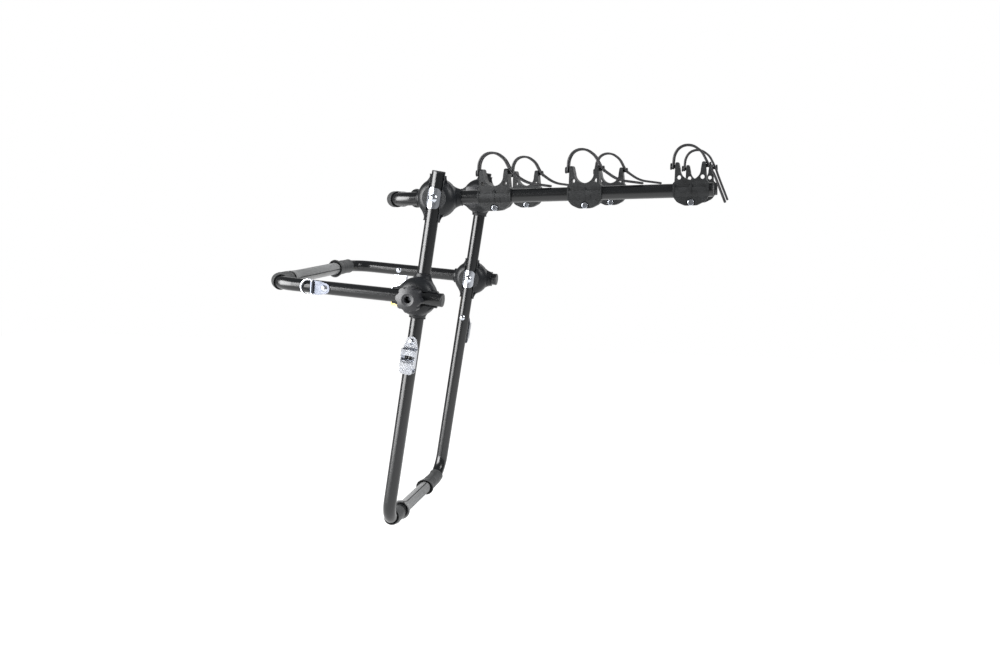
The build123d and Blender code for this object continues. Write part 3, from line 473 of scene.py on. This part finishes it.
# Corners of the strap's route and their radii, as listed: over the saddle and past the outer peg,
# then along the arm, or down past the arm's tip where the distance to it is given
LOOP_RADII, TAIL_RADII, HANG_RADII = [26.0, 22.0, 26.0, 30.0], [40.0, 60.0], [60.0, 90.0]
HANG_GAP = 4.2


def strap_route(tip_gap):
    loop = [(-PEG_MIDDLE - 1.5, PEG_HEIGHT - 5.0), (-PEG_MIDDLE + 1.0, 62.0), (-20.0, 79.5), (3.0, 81.0),
            (20.0, 68.0), (PEG_MIDDLE + 2.0, PEG_HEIGHT)]
    if tip_gap is None:
        return loop + [(60.0, 22.6), (106.0, 15.2)], LOOP_RADII + TAIL_RADII
    drop = tip_gap + HANG_GAP
    return loop + [(drop, 27.0), (drop + 19.0, -24.0)], LOOP_RADII + HANG_RADII


def rounded(points, radii):
    line = [Vector(points[0])]
    for i, radius in enumerate(radii):
        p, q, r = (Vector(points[i + k]) for k in range(3))
        u, v = (p - q).normalized(), (r - q).normalized()
        half = u.angle(v) / 2
        reach = radius * cos(half) / sin(half)
        a, b = q + u * reach, q + v * reach
        middle = q + (u + v).normalized() * (radius / sin(half))
        start = atan2((a - middle).y, (a - middle).x)
        sweep = atan2((b - middle).y, (b - middle).x) - start
        sweep = (sweep + pi) % (2 * pi) - pi
        for k in range(ARC_STEPS + 1):
            t = start + sweep * k / ARC_STEPS
            line.append(middle + Vector((cos(t), sin(t))) * radius)
    line.append(Vector(points[-1]))
    return line


# A function that gives the point and the direction at a distance along the line, and the line's length
def along(line):
    run = [0.0]
    for a, b in zip(line, line[1:]):
        run.append(run[-1] + (b - a).length)

    def place(s):
        s = min(max(s, 0.0), run[-1])
        for i in range(len(run) - 1):
            if s <= run[i + 1] or i == len(run) - 2:
                step = max(run[i + 1] - run[i], 1e-9)
                direction = (line[i + 1] - line[i]).normalized()
                return line[i].lerp(line[i + 1], (s - run[i]) / step), direction
    return place, run[-1]


def strap_slots(total):
    pitch = SLOT_LENGTH + RUNG_LENGTH
    count = int((total - 2 * STRAP_END + RUNG_LENGTH) / pitch)
    first = (total - count * pitch + RUNG_LENGTH) / 2
    return [(first + i * pitch, first + i * pitch + SLOT_LENGTH) for i in range(count)]


# Distances along the strap that its rows of points lie at: the ends of every slot, and steps between
def strap_marks(total, slots):
    cuts = sorted({0.0, total, *(end for slot in slots for end in slot)})
    marks = []
    for a, b in zip(cuts, cuts[1:]):
        parts = max(2, int(round((b - a) / STRAP_STEP)))
        marks += [a + (b - a) * i / parts for i in range(parts)]
    return marks + [total]


def strap_piece(name, matrix, tip_gap):
    place, total = along(rounded(*strap_route(tip_gap)))
    slots = strap_slots(total)
    marks = strap_marks(total, slots)
    outer = STRAP_WIDTH / 2
    inner = outer - STRAP_RAIL
    columns = [-outer, -outer + EDGE_ROUND, -inner - RAIL_ROUND, -inner, -inner / 3,
               inner / 3, inner, inner + RAIL_ROUND, outer - EDGE_ROUND, outer]
    verts, faces, index = [], [], {}

    def vertex(i, j, top):
        key = (i, j, top)
        if key not in index:
            s, y = marks[i], columns[j]
            point, direction = place(s)
            to_end = min(s, total - s)
            bulge = (1 - (1 - to_end / END_ROUND) ** 2) ** 0.5 if to_end <= END_ROUND else 1.0
            squeeze = 1 - END_NARROWING + END_NARROWING * bulge
            edge = 1.0 if 0 < j < len(columns) - 1 else EDGE_SHARE
            rung = 1.0 - RUNG_THINNING if -inner < y < inner else 1.0
            offset = STRAP_THICKNESS / 2 * edge * rung * (1 if top else -1)
            spot = point + Vector((-direction.y, direction.x)) * offset
            index[key] = len(verts)
            verts.append((spot.x, y * squeeze, spot.y))
        return index[key]

    def is_open(i, j):
        across = (columns[j] + columns[j + 1]) / 2
        middle = (marks[i] + marks[i + 1]) / 2
        return -inner < across < inner and any(a < middle < b for a, b in slots)

    rows, cols = len(marks) - 1, len(columns) - 1
    solid = {(i, j) for i in range(rows) for j in range(cols) if not is_open(i, j)}
    for i, j in sorted(solid):
        corner_places = ((i, j), (i + 1, j), (i + 1, j + 1), (i, j + 1))
        faces.append([vertex(*corner, True) for corner in corner_places])
        faces.append([vertex(*corner, False) for corner in corner_places][::-1])
        edges = (((i, j), (i, j + 1), (i - 1, j)), ((i + 1, j + 1), (i + 1, j), (i + 1, j)),
                 ((i + 1, j), (i, j), (i, j - 1)), ((i, j + 1), (i + 1, j + 1), (i, j + 1)))
        for a, b, beside in edges:
            if beside not in solid:
                faces.append([vertex(*a, True), vertex(*b, True), vertex(*b, False), vertex(*a, False)])
    obj = build(name, matrix, verts, faces)
    subdivide(obj, 2)
    return obj


for name, side in SIDES.items():
    for number, spot in enumerate(cradle_places(name), start=1):
        matrix = arm_matrix @ Matrix.Translation((spot, ARM_HALF * side, 0))
        tip_gap = CRADLE_TIP_GAPS[name] if number == 3 else None
        strap = strap_piece(f"cradle_strap_{name}_{number}_ladder", matrix, tip_gap)
        paint(strap, looks["strap_rubber"])
        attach(strap, f"cradle_{name}_{number}")
        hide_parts(f"cradle_strap_{name}_{number}")


# Floor: plain and pale, white to the camera and, near the object, to reflections. Its sizes are in metres.
FLOOR_HALF, FLOOR_LEVEL = 4.0, -0.32
FLOOR_TONE, FLOOR_GLOW = 0.8, 0.6
FLOOR_BRIGHT_REACH, FLOOR_DARK_REACH = 1.0, 3.5


def seen_directly(tree, rays):
    return math_node(tree, "MAXIMUM", rays["Is Camera Ray"], rays["Is Transmission Ray"])


def floor_material():
    material = bpy.data.materials.new("floor_white")
    material.use_nodes = True
    tree = material.node_tree
    tree.nodes.remove(tree.nodes["Principled BSDF"])
    diffuse = tree.nodes.new("ShaderNodeBsdfDiffuse")
    diffuse.inputs["Color"].default_value = (FLOOR_TONE,) * 3 + (1,)
    light = tree.nodes.new("ShaderNodeEmission")
    rays = tree.nodes.new("ShaderNodeLightPath").outputs
    coordinates = tree.nodes.new("ShaderNodeTexCoord")
    distance = tree.nodes.new("ShaderNodeVectorMath")
    distance.operation = "LENGTH"
    tree.links.new(coordinates.outputs["Object"], distance.inputs[0])
    near = fade(tree, distance.outputs["Value"], FLOOR_DARK_REACH, FLOOR_BRIGHT_REACH)
    mirrored = math_node(tree, "MULTIPLY", rays["Is Glossy Ray"], near)
    either = math_node(tree, "MAXIMUM", seen_directly(tree, rays), mirrored)
    tree.links.new(math_node(tree, "MULTIPLY", either, FLOOR_GLOW), light.inputs["Strength"])
    both = tree.nodes.new("ShaderNodeAddShader")
    tree.links.new(diffuse.outputs[0], both.inputs[0])
    tree.links.new(light.outputs[0], both.inputs[1])
    tree.links.new(both.outputs[0], tree.nodes["Material Output"].inputs["Surface"])
    return material


floor_mesh = bpy.data.meshes.new("floor")
floor_corners = [(x * FLOOR_HALF, y * FLOOR_HALF, FLOOR_LEVEL)
                 for x, y in ((-1, -1), (1, -1), (1, 1), (-1, 1))]
floor_mesh.from_pydata(floor_corners, [], [(0, 1, 2, 3)])
floor = bpy.data.objects.new("floor", floor_mesh)
bpy.context.scene.collection.objects.link(floor)
paint(floor, floor_material())

# Studio round it: white to the camera, a white backdrop behind and a dim room elsewhere to reflections
BACKDROP_START, BACKDROP_FULL = 0.72, 0.92
BACKDROP_LIGHT, ROOM_LIGHT, FILL_LIGHT = 0.8, 0.2, 0.5


def studio_world():
    world = bpy.data.worlds.new("studio")
    world.use_nodes = True
    tree = world.node_tree
    background = tree.nodes["Background"]
    background.inputs["Color"].default_value = (1, 1, 1, 1)
    rays = tree.nodes.new("ShaderNodeLightPath").outputs
    direction = tree.nodes.new("ShaderNodeTexCoord")
    split = tree.nodes.new("ShaderNodeSeparateXYZ")
    tree.links.new(direction.outputs["Generated"], split.inputs[0])
    behind = fade(tree, split.outputs["Y"], BACKDROP_START, BACKDROP_FULL)
    backdrop = math_node(tree, "MULTIPLY", behind, BACKDROP_LIGHT)
    room = math_node(tree, "ADD", backdrop, ROOM_LIGHT)
    mirrored = math_node(tree, "MULTIPLY", rays["Is Glossy Ray"], room)
    white = math_node(tree, "MAXIMUM", seen_directly(tree, rays), mirrored)
    fill = math_node(tree, "MULTIPLY", rays["Is Diffuse Ray"], FILL_LIGHT)
    tree.links.new(math_node(tree, "MAXIMUM", white, fill), background.inputs["Strength"])
    return world


bpy.context.scene.world = studio_world()


# Lamps: metres and watts; shine is whether reflections show it, fill whether it lights matt surfaces
def lamp(name, at, aim, width, height, power, shine=True, fill=True):
    data = bpy.data.lights.new(name, "AREA")
    data.shape = "RECTANGLE"
    data.size = width
    data.size_y = height
    data.energy = power
    obj = bpy.data.objects.new(name, data)
    bpy.context.scene.collection.objects.link(obj)
    obj.location = at
    obj.rotation_euler = (Vector(aim) - Vector(at)).to_track_quat("-Z", "Y").to_euler()
    obj.visible_glossy = shine
    obj.visible_diffuse = fill


lamp("wide_left", (-1.87, -1.69, 1.1), (0.15, 0.0, 0.6), width=2.45, height=2.0, power=225, fill=False)
lamp("low_left", (-1.87, -1.69, -0.06), (0.15, 0.0, 0.2), width=2.45, height=0.4, power=27, fill=False)
lamp("soft_left", (-1.6, -2.0, 1.5), (0.15, 0.0, 0.4), width=1.2, height=1.6, power=30, shine=False)
lamp("soft_top", (0.5, -0.4, 2.6), (0.2, 0.0, 0.3), width=1.6, height=1.2, power=22, shine=False)
lamp("soft_right", (1.95, -0.5, 1.7), (0.2, 0.0, 0.4), width=0.8, height=1.1, power=22)

# Camera: metres from the upper hinge and degrees, fitted to the photograph
CAMERA_RIGHT, CAMERA_UP, CAMERA_BACK = 0.5585, 0.0262, 2.0897
CAMERA_DIP, CAMERA_TURN = 8.0639, 12.8435

camera_data = bpy.data.cameras.new("camera")
camera_data.sensor_width = 36.0
camera_data.lens = 37.997
camera_data.clip_start = 0.05
camera_data.clip_end = 60.0
camera = bpy.data.objects.new("camera", camera_data)
bpy.context.scene.collection.objects.link(camera)
camera.location = (upper_axis.x / 1000 + CAMERA_RIGHT, -CAMERA_BACK, upper_axis.z / 1000 + CAMERA_UP)
camera.rotation_euler = (radians(90 - CAMERA_DIP), 0, radians(CAMERA_TURN))
bpy.context.scene.camera = camera

bpy.context.scene.view_settings.view_transform = "Standard"
